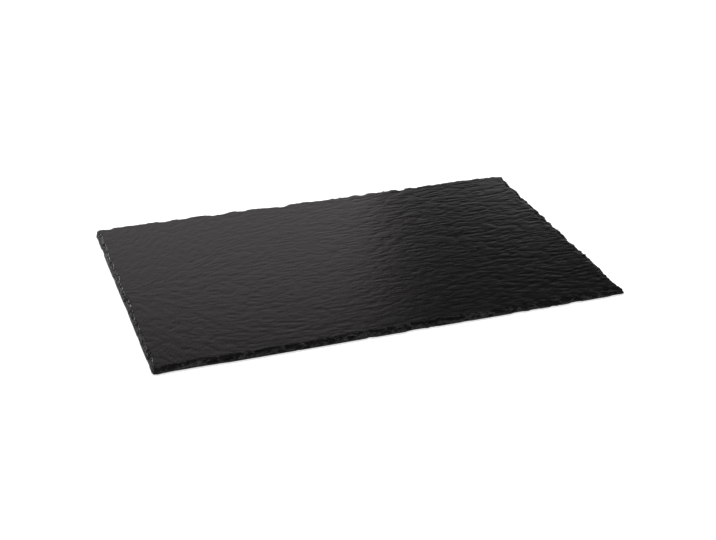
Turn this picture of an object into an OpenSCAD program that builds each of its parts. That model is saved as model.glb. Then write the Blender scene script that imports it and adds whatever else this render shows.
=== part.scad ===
// Serving board of natural slate. One slab, riven on its face and dressed by hand round its
// edge, stands on four rubber feet that are stuck to its underside.
// X runs along the board, Y from its front edge to its back edge, and Z up. The origin lies on
// the surface that the board stands on, under the middle of the board.

/* [Slab] */
// Length of the slab, between the outermost points of its edges
board_l = 530; // [400:1:600]
// Depth of the slab, from front to back
board_d = 325; // [250:1:400]
// Thickness of the slab, up to its highest ripple
slab_t = 7; // [5:0.5:10]

/* [Dressed edge] */
// How far the face stands in from the lower arris where the bevel is widest
bevel = 3; // [0.5:0.1:4]
// Farthest that the lower arris strays in from a straight line
stray_reach = 2.2; // [0.5:0.1:3]
// Depth of the deepest bay that broke out of the edge
bay_reach = 5; // [1:0.5:6]
// Distance between two blows of the dressing knife
blow_pitch = 17; // [12:1:30]
// Depth of the deepest scar that a blow left
blow_reach = 3; // [0.5:0.1:4]
// Distance between two small chips
chip_pitch = 7; // [5:0.5:12]
// Depth of the deepest small chip
chip_reach = 1.2; // [0.2:0.1:1.5]
// Farthest that the top leaf of the stone split off, back from the edge
spall_reach = 9; // [4:0.5:12]
// Size of the break at the bluntest corner
corner_break = 8; // [2:0.5:10]

/* [Riven face] */
// Depth of the ripples that splitting left in the face
ripple_depth = 0.45; // [0.1:0.05:0.8]
// Farthest that the ripples sweep to the side, near the left end
ripple_sweep = 14; // [0:1:18]
// Land between the deepest possible scar and the first ripple
face_land = 1.5; // [0.5:0.1:4]

/* [Feet] */
// Height of a foot
foot_h = 2.2; // [1.5:0.1:4]
// Diameter of a foot at its shoulder
foot_d = 12; // [11:0.5:16]
// Diameter of the flat that a foot stands on
foot_rest_d = 8; // [6:0.5:9]
// Diameter of a foot's upper face
foot_top_d = 11; // [10.5:0.5:11]
// Distance from the edges of the slab to the middle of a foot
foot_inset = 28; // [22:1:60]
// Diameter of an adhesive pad
pad_d = 10; // [8:0.5:10]
// Thickness of an adhesive pad
pad_t = 0.25; // [0.2:0.05:0.5]

/* [Hidden] */

slate_colour = "#2a292b";
rubber_colour = "#141414";
adhesive_colour = "#c9c4b6";

// The sides are counted anticlockwise from above: front, right, back, left. Corner k is where
// side k starts.
front_left = 0;
front_right = 1;
back_right = 2;
back_left = 3;
side_lengths = [board_l, board_d, board_l, board_d];
corner_signs = [[-1, -1], [1, -1], [1, 1], [-1, 1]];
side_directions = [[1, 0], [0, 1], [-1, 0], [0, -1]];
side_normals = [[0, 1], [-1, 0], [0, -1], [1, 0]];

// Cells of the rippled face along X and Y, and points of the edge to each cell of a side
face_cells = [30, 74];
side_cells = [face_cells[0], face_cells[1], face_cells[0], face_cells[1]];
side_splits = [4, 1, 4, 1];

// Rings of the edge, from the lower arris to the face. A ring has its height as a share of the
// thickness, and then the shares of the bevel, the bays, the blow scars, the chips, the corner
// breaks and the spalls that have cut in there. Two rings of one height make a ledge, where the
// stone parted along its cleavage. The spalls took only the top leaf.
ring_shares = [
    [0.00, 0.00, 0.60, 0.00, 0.30, 0.30, 0.00],
    [0.30, 0.15, 0.68, 0.14, 0.42, 0.34, 0.00],
    [0.30, 0.40, 0.76, 0.34, 0.58, 0.38, 0.00],
    [0.66, 0.55, 0.84, 0.62, 0.74, 0.45, 0.08],
    [0.66, 0.82, 0.92, 0.82, 0.88, 0.55, 0.30],
    [1.00, 1.00, 1.00, 1.00, 1.00, 1.00, 1.00]
];
// How much of the bevel each side has, and how hard the knife hit it
side_bevel_shares = [1, 1, 0.1, 0.7];
side_scar_shares = [1, 0.5, 0.1, 0.6];
// How far a ledge rises and falls along a side, as a share of the thickness
ledge_sway_share = 0.11;
// Share of its full width that a ledge keeps where it is narrowest
ledge_least_share = 0.08;

// How far the lower arris strays at evenly spaced places of each side, as shares of stray_reach
stray_shares = [
    [0.3, 0.2, 0, 0, 0, 0.1, 0, 0.2, 0.1, 0.1, 0.2, 0.5, 0.6],
    [0.45, 0.15, 0.15, 0.2, 0.05, 0.3, 0.15, 0.3, 0.05],
    [0.2, 0.1, 0.15, 0.25, 0.25, 0.25, 0.25, 0.1, 0, 0, 0, 0, 0],
    [0.2, 0.1, 0, 0.05, 0.1, 0.15, 0.1, 0.05, 0.1]
];
// Bays of each side: place of the middle and half width as shares of the side's length, and
// depth as a share of bay_reach
bay_shares = [
    [
        [0.07, 0.075, 0.25], [0.13, 0.01, 0.15], [0.434, 0.01, 0.2], [0.53, 0.022, 0.45],
        [0.568, 0.009, 0.2], [0.638, 0.012, 0.15], [0.753, 0.015, 0.35], [0.791, 0.013, 0.25],
        [0.885, 0.015, 0.4], [0.978, 0.012, 0.3]
    ],
    [
        [0.07, 0.044, 0.45], [0.134, 0.026, 0.4], [0.204, 0.029, 0.3], [0.278, 0.025, 0.6],
        [0.331, 0.023, 0.35], [0.399, 0.034, 0.6], [0.532, 0.027, 0.4], [0.577, 0.02, 0.65],
        [0.636, 0.021, 0.4], [0.728, 0.025, 0.4], [0.814, 0.02, 0.45], [0.91, 0.034, 0.3]
    ],
    [
        [0.03, 0.025, 0.45], [0.079, 0.016, 0.4], [0.17, 0.015, 0.35], [0.217, 0.02, 0.4],
        [0.264, 0.011, 0.75], [0.298, 0.01, 0.2], [0.32, 0.012, 0.3], [0.364, 0.014, 0.45],
        [0.406, 0.012, 0.45], [0.43, 0.009, 0.35], [0.468, 0.03, 0.4], [0.568, 0.02, 1],
        [0.585, 0.035, 0.7], [0.662, 0.012, 0.4], [0.722, 0.026, 0.6], [0.802, 0.014, 0.45],
        [0.845, 0.017, 0.5], [0.985, 0.022, 0.5]
    ],
    [
        [0.04, 0.016, 0.15], [0.14, 0.028, 0.25], [0.36, 0.02, 0.12], [0.577, 0.05, 0.1],
        [0.78, 0.025, 0.12], [0.93, 0.02, 0.15]
    ]
];
// Spalls of each side, given as the bays are, with depths as shares of spall_reach
spall_shares = [
    [
        [0.04, 0.014, 0.35], [0.13, 0.018, 0.5], [0.19, 0.012, 0.45], [0.27, 0.015, 0.35],
        [0.36, 0.012, 0.45], [0.45, 0.02, 0.4], [0.55, 0.015, 0.5], [0.62, 0.02, 0.4],
        [0.69, 0.02, 0.45], [0.76, 0.03, 0.55], [0.83, 0.035, 0.65], [0.89, 0.03, 0.75],
        [0.95, 0.04, 0.9]
    ],
    [
        [0.03, 0.04, 0.7], [0.1, 0.035, 0.9], [0.16, 0.03, 0.6], [0.22, 0.035, 0.8],
        [0.29, 0.03, 0.95], [0.35, 0.035, 0.65], [0.42, 0.04, 0.85], [0.49, 0.03, 0.6],
        [0.55, 0.035, 0.9], [0.62, 0.04, 1], [0.69, 0.03, 0.75], [0.76, 0.04, 0.95],
        [0.83, 0.035, 0.7], [0.9, 0.04, 0.9], [0.97, 0.035, 0.8]
    ],
    [
        [0.03, 0.02, 0.3], [0.217, 0.02, 0.25], [0.45, 0.03, 0.2], [0.722, 0.026, 0.35]
    ],
    [
        [0.1, 0.04, 0.3], [0.3, 0.05, 0.25], [0.5, 0.06, 0.35], [0.62, 0.03, 0.25],
        [0.75, 0.05, 0.3], [0.92, 0.05, 0.35]
    ]
];
// Size of each corner's break as a share of corner_break, and the run of a break along the side
// as a share of its size
corner_shares = [0.3, 1, 0.75, 0.25];
break_run_share = 2;
// Distance from a corner within which the scars grow to their full depth
corner_run = corner_break * break_run_share;

// Scars of one row: how far they move off their pitch, and their least and greatest half width,
// as shares of the pitch, and then their least and greatest depth as shares of their reach
scar_move_share = 0.6;
scar_half_shares = [0.5, 0.9];
scar_depth_shares = [0.3, 1];
blow_row = 0;
chip_row = 1;

// Power with which the sweep of the ripples dies away from the left end, and the share of the
// length at which it is widest
sweep_power = 4;
sweep_peak_share = 1 / (1 + sweep_power);

// Throws that the sway and the width of the ledges take
sway_seed = 0;
width_seed = 40;
// Numbers that shuffle the dice
dice_steps = [78.233, 37.719];
dice_start = 12.9898;
dice_gain = 43758.5453;

// Height of the underside and of the feet's upper face
slab_z = foot_h + pad_t;
// Inset of the rippled part of the face: past the deepest that all scars could cut together
face_inset = corner_break + bevel + max(stray_reach + bay_reach + blow_reach, spall_reach)
    + chip_reach + face_land;
// Height of a foot's shoulder as a share of the foot's height, and steps of its round
foot_shoulder_share = 0.6;
foot_round_steps = 6;
foot_fn = 72;

// Value between a and b
function lerp(a, b, t) = a + (b - a) * t;

// Slow start and slow end, for t from 0 to 1
function ease(t) = t * t * (3 - 2 * t);

// Repeatable number from 0 to 1 for two whole numbers
function dice(a, b) =
    let (v = sin(a * dice_steps[0] + b * dice_steps[1] + dice_start) * dice_gain)
    v - floor(v);

// Value at t, from 0 to 1, of a list of evenly spaced shares
function share_at(shares, t) =
    let (
        place = t * (len(shares) - 1),
        k = min(floor(place), len(shares) - 2)
    )
    lerp(shares[k], shares[k + 1], ease(place - k));

// Depth of a scoop of depth 1 and half width 1, at u from its middle
function scoop(u) = abs(u) < 1 ? sqrt(1 - u * u) : 0;

// Depth, as a share of the deepest, of the bay or the spall that lies at t along a side
function hollow_depth(hollows, t) =
    max([for (hollow = hollows) hollow[2] * scoop((t - hollow[0]) / hollow[1])]);

// Depth, as a share of the deepest, of a row of scars at a place on a side. Three scars can
// reach a place: the one of its own pitch and its two neighbours.
function scar_depth(side, place, pitch, row) =
    let (own = floor(place / pitch))
    max([
        for (k = [own - 1 : own + 1])
        let (
            throw = 4 * k + side,
            moved = lerp(1 - scar_move_share, 1 + scar_move_share, dice(throw, 3 * row)),
            middle = (k + moved / 2) * pitch,
            half = pitch * lerp(scar_half_shares[0], scar_half_shares[1], dice(throw, 3 * row + 1)),
            depth = lerp(scar_depth_shares[0], scar_depth_shares[1], dice(throw, 3 * row + 2))
        )
        depth * scoop((place - middle) / half)
    ]);

// Cut of a broken corner at a distance from it along a side
function break_cut(corner, distance) =
    let (size = corner_break * corner_shares[corner])
    size * max(0, 1 - distance / (size * break_run_share));

// Slow drift from 0 to 1 and back along a side, from one blow to the next
function drift(side, place, seed) =
    let (k = floor(place / blow_pitch))
    lerp(dice(k, seed + side), dice(k + 1, seed + side), ease(place / blow_pitch - k));

// Share that a side has of a size, which goes over to the mean of two sides at their corner
function side_share(shares, side, place) =
    let (
        to_end = side_lengths[side] - place,
        next = shares[(side + (place < to_end ? 3 : 1)) % 4]
    )
    lerp((shares[side] + next) / 2, shares[side], min(1, place / corner_run, to_end / corner_run));

// Shares of the cuts at a ring. A ledge comes and goes along the side, and is whole where
// calm is 0, at a corner.
function cut_shares(side, place, ring, calm) =
    let (
        shares = ring_shares[ring],
        lower = ring_shares[max(0, ring - 1)],
        width = lerp(1, lerp(ledge_least_share, 1, drift(side, place, width_seed + 4 * ring)), calm)
    )
    shares[0] == lower[0] ? lerp(lower, shares, width) : shares;

// Inset of a ring from the straight side, at a place along it
function edge_inset(side, place, ring) =
    let (
        side_l = side_lengths[side],
        t = place / side_l,
        calm = min(1, place / corner_run, (side_l - place) / corner_run),
        shares = cut_shares(side, place, ring, calm),
        scars = side_scar_shares[side],
        blows = stray_reach * share_at(stray_shares[side], t)
            + bay_reach * shares[2] * hollow_depth(bay_shares[side], t)
            + blow_reach * shares[3] * scars * scar_depth(side, place, blow_pitch, blow_row),
        chips = chip_reach * shares[4] * scars * scar_depth(side, place, chip_pitch, chip_row),
        spalls = spall_reach * shares[6] * hollow_depth(spall_shares[side], t)
    )
    shares[5] * (break_cut(side, place) + break_cut((side + 1) % 4, side_l - place))
    + bevel * shares[1] * side_share(side_bevel_shares, side, place)
    + calm * (max(blows, spalls) + chips);

// Height of a ring above the underside. A ledge sways from one blow to the next, and the face
// ends in ripples.
function edge_height(side, place, ring) =
    let (
        share = ring_shares[ring][0],
        sway = 2 * drift(side, place, sway_seed + 4 * round(share * len(ring_shares))) - 1
    )
    share == 0 ? 0
    : share == 1 ? slab_t - ripple_depth * dice(floor(place / chip_pitch), side)
    : slab_t * (share + ledge_sway_share * sway);

// Point of a ring at t along a side. The side's points are spread between its two corners.
function edge_point(side, t, ring) =
    let (
        side_l = side_lengths[side],
        start = edge_inset(side, 0, ring),
        end = edge_inset(side, side_l, ring),
        corner = [corner_signs[side][0] * board_l, corner_signs[side][1] * board_d] / 2,
        p = corner + lerp(start, side_l - end, t) * side_directions[side]
            + edge_inset(side, t * side_l, ring) * side_normals[side]
    )
    [p[0], p[1], edge_height(side, t * side_l, ring)];

// One closed ring of points round the edge
function edge_ring(ring) = [
    for (side = [0 : 3], k = [0 : side_cells[side] * side_splits[side] - 1])
    edge_point(side, k / (side_cells[side] * side_splits[side]), ring)
];

// Point of the rippled face. A row of cells is one crest or one trough, whose height changes
// slowly along it, and the rows bend as the ripples do, in arcs from the left end.
function face_point(i, j) =
    let (
        u = i / face_cells[0],
        v = j / face_cells[1],
        reach = u * pow(1 - u, sweep_power) / (sweep_peak_share * pow(1 - sweep_peak_share, sweep_power)),
        x = (board_l - 2 * face_inset) * (u - 1 / 2),
        y = (board_d - 2 * face_inset) * (v - 1 / 2) + ripple_sweep * reach * sin(360 * v)
    )
    [x, y, slab_t - ripple_depth * (dice(i, j) + dice(i + 1, j)) / 2];

// Place in the list of points of a point of the rippled face, counted round its rim from the
// start of a side
function rim_index(side, k) =
    let (
        nx = face_cells[0],
        ny = face_cells[1],
        i = side == 0 ? k : side == 1 ? nx : side == 2 ? nx - k : 0,
        j = side == 0 ? 0 : side == 1 ? k : side == 2 ? ny : ny - k
    )
    i * (ny + 1) + j;

module slate_slab() {
    rings = len(ring_shares);
    ring_n = len(edge_ring(0));
    side_starts = [
        0,
        side_cells[0] * side_splits[0],
        side_cells[0] * side_splits[0] + side_cells[1] * side_splits[1],
        2 * side_cells[0] * side_splits[0] + side_cells[1] * side_splits[1]
    ];
    top = (rings - 1) * ring_n;
    face = rings * ring_n;
    middle = face + (face_cells[0] + 1) * (face_cells[1] + 1);

    points = [
        for (ring = [0 : rings - 1]) each edge_ring(ring),
        for (i = [0 : face_cells[0]], j = [0 : face_cells[1]]) face_point(i, j),
        [0, 0, 0]
    ];

    // Flat underside, as a fan round its middle
    underside = [for (k = [0 : ring_n - 1]) [middle, k, (k + 1) % ring_n]];

    // Dressed edge, from each ring to the next
    edge = [
        for (ring = [0 : rings - 2], k = [0 : ring_n - 1])
        let (
            a = ring * ring_n + k,
            b = ring * ring_n + (k + 1) % ring_n
        )
        each [[a, a + ring_n, b + ring_n], [a, b + ring_n, b]]
    ];

    // Border of the face, between the scarred edge and the rim of the ripples: in each cell, the
    // first half of the edge's points fan to the rim's one point, and the rest to its next
    border = [
        for (side = [0 : 3], cell = [0 : side_cells[side] - 1])
        let (
            splits = side_splits[side],
            first = side_starts[side] + cell * splits,
            half = floor(splits / 2),
            near = face + rim_index(side, cell),
            far = face + rim_index(side, cell + 1)
        )
        each [
            for (k = [0 : splits - 1])
            [top + (first + k) % ring_n, k < half ? near : far, top + (first + k + 1) % ring_n],
            [top + first + half, near, far]
        ]
    ];

    // Rippled face, two triangles to a cell
    ripples = [
        for (i = [0 : face_cells[0] - 1], j = [0 : face_cells[1] - 1])
        let (
            a = face + i * (face_cells[1] + 1) + j,
            b = a + face_cells[1] + 1
        )
        each [[a, a + 1, b + 1], [a, b + 1, b]]
    ];

    color(slate_colour)
    translate([0, 0, slab_z])
    polyhedron(points = points, faces = concat(underside, edge, border, ripples), convexity = 4);
}

// Half profile of a foot: flat rest, round shoulder, and a slight draft up to its upper face
foot_profile = [
    [0, 0],
    for (k = [0 : foot_round_steps])
    let (a = 90 * k / foot_round_steps)
    [
        lerp(foot_rest_d, foot_d, sin(a)) / 2,
        foot_h * foot_shoulder_share * (1 - cos(a))
    ],
    [foot_top_d / 2, foot_h],
    [0, foot_h]
];

// Puts its children under a corner of the slab
module at_corner(corner) {
    translate([
        corner_signs[corner][0] * (board_l / 2 - foot_inset),
        corner_signs[corner][1] * (board_d / 2 - foot_inset),
        0
    ])
    children();
}

module foot(corner) {
    color(rubber_colour)
    at_corner(corner)
    rotate_extrude($fn = foot_fn)
    polygon(foot_profile);
}

module adhesive(corner) {
    color(adhesive_colour)
    at_corner(corner)
    translate([0, 0, foot_h])
    cylinder(d = pad_d, h = pad_t, $fn = foot_fn);
}

module foot_front_left() { foot(front_left); }
module foot_front_right() { foot(front_right); }
module foot_back_right() { foot(back_right); }
module foot_back_left() { foot(back_left); }
module adhesive_front_left() { adhesive(front_left); }
module adhesive_front_right() { adhesive(front_right); }
module adhesive_back_right() { adhesive(back_right); }
module adhesive_back_left() { adhesive(back_left); }

slate_slab();
foot_front_left();
foot_front_right();
foot_back_left();
foot_back_right();
adhesive_front_left();
adhesive_front_right();
adhesive_back_left();
adhesive_back_right();
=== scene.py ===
"""Serving board of natural slate, on four rubber feet that are stuck to its underside.

The slab is split from the block along its cleavage, which leaves the face riven in fine ripples,
and its edge is dressed by hand, which leaves rows of scooped scars with the stone's leaves showing
in them. The slab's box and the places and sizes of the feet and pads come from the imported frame. X
runs along the board, Y from its front edge to its back edge, and Z up, in metres. Sizes in the
classes of the board are millimetres, and those of the studio are metres.
"""

import logging
import math
from dataclasses import dataclass, field
from enum import Enum, IntEnum

import bpy
import numpy as np
from mathutils import Matrix, Vector


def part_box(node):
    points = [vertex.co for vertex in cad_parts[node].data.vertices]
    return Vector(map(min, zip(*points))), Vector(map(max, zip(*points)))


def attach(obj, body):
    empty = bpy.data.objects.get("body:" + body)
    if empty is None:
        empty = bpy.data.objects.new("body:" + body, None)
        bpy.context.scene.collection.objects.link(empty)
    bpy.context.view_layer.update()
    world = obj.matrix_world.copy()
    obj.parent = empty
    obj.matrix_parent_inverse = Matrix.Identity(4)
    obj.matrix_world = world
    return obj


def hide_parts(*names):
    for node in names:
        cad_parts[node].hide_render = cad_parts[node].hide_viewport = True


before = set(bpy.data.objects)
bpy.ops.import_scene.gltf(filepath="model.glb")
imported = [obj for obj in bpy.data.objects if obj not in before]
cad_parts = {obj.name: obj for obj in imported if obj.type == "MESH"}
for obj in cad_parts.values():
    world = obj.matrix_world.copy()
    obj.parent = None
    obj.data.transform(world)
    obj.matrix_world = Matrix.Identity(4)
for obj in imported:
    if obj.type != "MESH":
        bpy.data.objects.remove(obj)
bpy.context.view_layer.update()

MM = 0.001
BODY = "root"
PHOTO_WIDTH_PX = 716

# The board before its edge is dressed, in millimetres.
BOARD_LENGTH = 530.0
BOARD_DEPTH = 325.0
SLAB_THICKNESS = 7.0

# Steps and start of the sine's angle in degrees, and the multiple whose fraction is the throw.
DICE_STEPS = (78.233, 37.719)
DICE_START = 12.9898
DICE_GAIN = 43758.5453

# Rows of dice from one noise to the next, noises kept for each direction of the grain, and throws
# for each scar.
NOISE_STRIDE = 131
SEEDS_PER_DIRECTION = 10
DICE_PER_SCAR = 3

# Attribute of a mesh with its relief from hollow to crest, which the finishes paint as shade.
RELIEF_SHADE = "relief"

# Inputs A and B of a Mix node for plain values. Those for vectors and colours are A and B too.
MIX_A = 2
MIX_B = 3

# Curve of the sRGB values: a straight line up to the toe, and a power above it.
SRGB_TOE = 0.04045
SRGB_SLOPE = 12.92
SRGB_OFFSET = 0.055
SRGB_POWER = 2.4
WHITE = (1, 1, 1, 1)

# One array for each side: front, right, back and left.
BySide = list[np.ndarray]

# A bay or a spall: its middle and its half width as shares of the side, and its depth as a share
# of the reach.
Hollow = tuple[float, float, float]

# Positions on a colour ramp, with their hex colours.
Tones = tuple[tuple[float, str], ...]

log = logging.getLogger("slate_board")


class Corner(Enum):
    """Corner of the board, with its signs along X and Y. A side starts at the corner of its number."""

    FRONT_LEFT = (-1, -1)
    FRONT_RIGHT = (1, -1)
    BACK_RIGHT = (1, 1)
    BACK_LEFT = (-1, 1)

    @property
    def label(self) -> str:
        """Name of the corner as the nodes write it."""
        return self.name.lower()


SIDES = len(Corner)


class Cut(IntEnum):
    """Column of the table of rings: a ring's height, and its share of each cut of the edge."""

    HEIGHT = 0
    BEVEL = 1
    BAY = 2
    BLOW = 3
    CHIP = 4
    BREAK = 5
    SPALL = 6


class Shading(Enum):
    """How the faces of a stretch of mesh are shaded."""

    SMOOTH = True
    FACETED = False


class Finish(IntEnum):
    """Material slot of a stretch of the slab."""

    RIVEN = 0
    DRESSED = 1


class Skin(Enum):
    """Riven side of the slab, with the way along Z that it looks."""

    FACE = 1
    UNDERSIDE = -1


def lerp(a: np.ndarray | float, b: np.ndarray | float, t: np.ndarray | float) -> np.ndarray | float:
    """Value a share t of the way from a to b.

    Args:
        a: Value at t 0.
        b: Value at t 1.
        t: Share.

    Returns:
        The value between.
    """
    return a + (b - a) * t


def ease(t: np.ndarray) -> np.ndarray:
    """Slow start and slow end: three t squared minus two t cubed.

    Args:
        t: Shares from 0 to 1.

    Returns:
        Eased shares from 0 to 1.
    """
    return t * t * (3 - 2 * t)


def dice(a: np.ndarray, b: np.ndarray | float) -> np.ndarray:
    """Repeatable numbers from 0 to 1: the fraction of a large multiple of a sine.

    Args:
        a: First whole numbers.
        b: Second whole numbers.

    Returns:
        One number for each pair.
    """
    v = np.sin(np.radians(a * DICE_STEPS[0] + b * DICE_STEPS[1] + DICE_START)) * DICE_GAIN
    return v - np.floor(v)


def noise(x: np.ndarray, y: np.ndarray, seed: int) -> np.ndarray:
    """Smooth noise: the dice at the four whole points round a place, eased from one to the next.

    Args:
        x: First coordinates, in cells.
        y: Second coordinates, in cells.
        seed: Whole number that picks one of many such noises.

    Returns:
        Noise from 0 to 1.
    """
    i = np.floor(x)
    j = np.floor(y)
    u = ease(x - i)
    v = ease(y - j)
    shift = NOISE_STRIDE * seed
    near = lerp(dice(i, j + shift), dice(i + 1, j + shift), u)
    far = lerp(dice(i, j + 1 + shift), dice(i + 1, j + 1 + shift), u)
    return lerp(near, far, v)


@dataclass
class MeshParts:
    """Vertices and faces of one closed piece, gathered stretch by stretch.

    Attributes:
        points: Arrays of points, in millimetres.
        relief: For each array of points, their relief from 0 in a hollow to 1 on a crest, which
        the finishes read and paint as shade, darker in the hollows.
        triangles: Arrays of triangles.
        smooth: For each array of triangles, whether it is shaded smooth.
        slots: For each array of triangles, its material slot.
    """

    points: list[np.ndarray] = field(default_factory=list)
    relief: list[np.ndarray] = field(default_factory=list)
    triangles: list[np.ndarray] = field(default_factory=list)
    smooth: list[Shading] = field(default_factory=list)
    slots: list[int] = field(default_factory=list)

    def add_points(self, points: np.ndarray, relief: np.ndarray | None = None) -> int:
        """Adds points.

        Args:
            points: Points in rows of three, in millimetres.
            relief: Relief at each point, which the finishes paint as shade, or None for a piece
            without any.

        Returns:
            The number of the first one.
        """
        start = sum(len(p) for p in self.points)
        self.points.append(points.reshape(-1, 3))
        self.relief.append(np.zeros(len(self.points[-1])) if relief is None else relief.ravel())
        return start

    def add_faces(self, faces: np.ndarray, shading: Shading, slot: int = 0) -> None:
        """Adds faces, splitting quads into triangles.

        Args:
            faces: Rows of three or four point numbers, anticlockwise from outside.
            shading: How they are shaded.
            slot: Their material slot.
        """
        if faces.shape[1] == 4:
            faces = halves(faces)
        self.triangles.append(faces)
        self.smooth.append(shading)
        self.slots.append(slot)

    def build(self, name: str, materials: list[bpy.types.Material]) -> bpy.types.Object:
        """Makes the object.

        Args:
            name: Name of the piece.
            materials: Its materials, in the order of the slots.

        Returns:
            The object, at the origin, with its place in its mesh.
        """
        points = np.concatenate(self.points) * MM
        triangles = np.concatenate(self.triangles)
        counts = [len(t) for t in self.triangles]
        mesh = bpy.data.meshes.new(name)
        mesh.vertices.add(len(points))
        mesh.vertices.foreach_set("co", points.astype(np.float32).ravel())
        mesh.loops.add(triangles.size)
        mesh.loops.foreach_set("vertex_index", triangles.astype(np.int32).ravel())
        mesh.polygons.add(len(triangles))
        mesh.polygons.foreach_set("loop_start", np.arange(0, triangles.size, 3, dtype=np.int32))
        for material in materials:
            mesh.materials.append(material)
        mesh.polygons.foreach_set("material_index", np.repeat(self.slots, counts).astype(np.int32))
        mesh.polygons.foreach_set("use_smooth", np.repeat([s.value for s in self.smooth], counts))
        relief = mesh.attributes.new(RELIEF_SHADE, "FLOAT", "POINT")
        relief.data.foreach_set("value", np.concatenate(self.relief).astype(np.float32))
        mesh.update(calc_edges=True)
        mesh.validate()
        piece = bpy.data.objects.new(name, mesh)
        bpy.context.scene.collection.objects.link(piece)
        return piece


def grid_quads(rows: int, columns: int, first: int, closed: bool = False) -> np.ndarray:
    """Quads of a grid of points that is stored row by row.

    Args:
        rows: Rows of points.
        columns: Points in a row.
        first: Number of the first point.
        closed: Whether a row's last point joins its first.

    Returns:
        Quads that run along the row and then to the next row.
    """
    wide = columns if closed else columns - 1
    i, j = np.meshgrid(np.arange(rows - 1), np.arange(wide), indexing="ij")
    a = first + i * columns + j
    b = first + i * columns + (j + 1) % columns
    return np.stack([a, b, b + columns, a + columns], -1).reshape(-1, 4)


def halves(quads: np.ndarray) -> np.ndarray:
    """Two triangles for each quad, which part it from its first point to its third.

    Args:
        quads: Rows of four point numbers.

    Returns:
        All the first triangles, then all the second ones.
    """
    return np.concatenate([quads[:, [0, 1, 2]], quads[:, [0, 2, 3]]])


def zip_loops(outer: np.ndarray, inner: np.ndarray, splits: int) -> np.ndarray:
    """Triangles between one side of an outer loop and the same side of a coarser inner one.

    In each cell the first half of the outer points fans to the inner cell's start and the rest
    to its end, and one more triangle closes the cell.

    Args:
        outer: Point numbers of the outer side, anticlockwise from above, both ends included.
        inner: Point numbers of the inner side, both ends included.
        splits: Outer steps to each inner one.

    Returns:
        Triangles that face up.
    """
    cells = len(inner) - 1
    half = splits // 2
    cell, step = np.meshgrid(np.arange(cells), np.arange(splits), indexing="ij")
    place = (cell * splits + step).ravel()
    target = (cell + (step >= half)).ravel()
    fans = np.stack([outer[place], outer[place + 1], inner[target]], -1)
    middle = outer[np.arange(cells) * splits + half]
    return np.concatenate([fans, np.stack([middle, inner[1:], inner[:-1]], -1)])


def deepest_near(insets: np.ndarray, reach: int = 2) -> np.ndarray:
    """Greatest inset within a few steps of each point of a side, so that a rim drawn inside it
    keeps clear of every bite.

    Args:
        insets: Insets along the side.
        reach: Steps to each hand.

    Returns:
        The greatest insets, unchanged at the two ends.
    """
    padded = np.pad(insets, reach, mode="edge")
    windows = np.lib.stride_tricks.sliding_window_view(padded, 2 * reach + 1)
    deepest = windows.max(1)
    deepest[0], deepest[-1] = insets[0], insets[-1]
    return deepest


def coons_patch(sides: BySide) -> np.ndarray:
    """Grid of points that fills four curves: the sum of the two ways of ruling a straight surface
    between opposite curves, less the one ruled between the corners.

    Args:
        sides: The front, right, back and left curve, each run anticlockwise, both ends included.

    Returns:
        Points by row from the front and by column from the left, with X and Y.
    """
    front, right = sides[0], sides[1]
    back, left = sides[2][::-1], sides[3][::-1]
    u = np.linspace(0, 1, len(front))[None, :, None]
    v = np.linspace(0, 1, len(right))[:, None, None]
    along = lerp(front[None], back[None], v)
    across = lerp(left[:, None], right[:, None], u)
    corners = lerp(lerp(front[0], front[-1], u), lerp(back[0], back[-1], u), v)
    return along + across - corners


def rim_numbers(rows: int, columns: int, first: int) -> BySide:
    """Point numbers round the rim of a grid.

    Args:
        rows: Rows of points.
        columns: Points in a row.
        first: Number of the grid's first point.

    Returns:
        The front, right, back and left side, each run anticlockwise, both ends included.
    """
    number = first + np.arange(rows * columns).reshape(rows, columns)
    return [number[0], number[:, -1], number[-1, ::-1], number[::-1, 0]]


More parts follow.
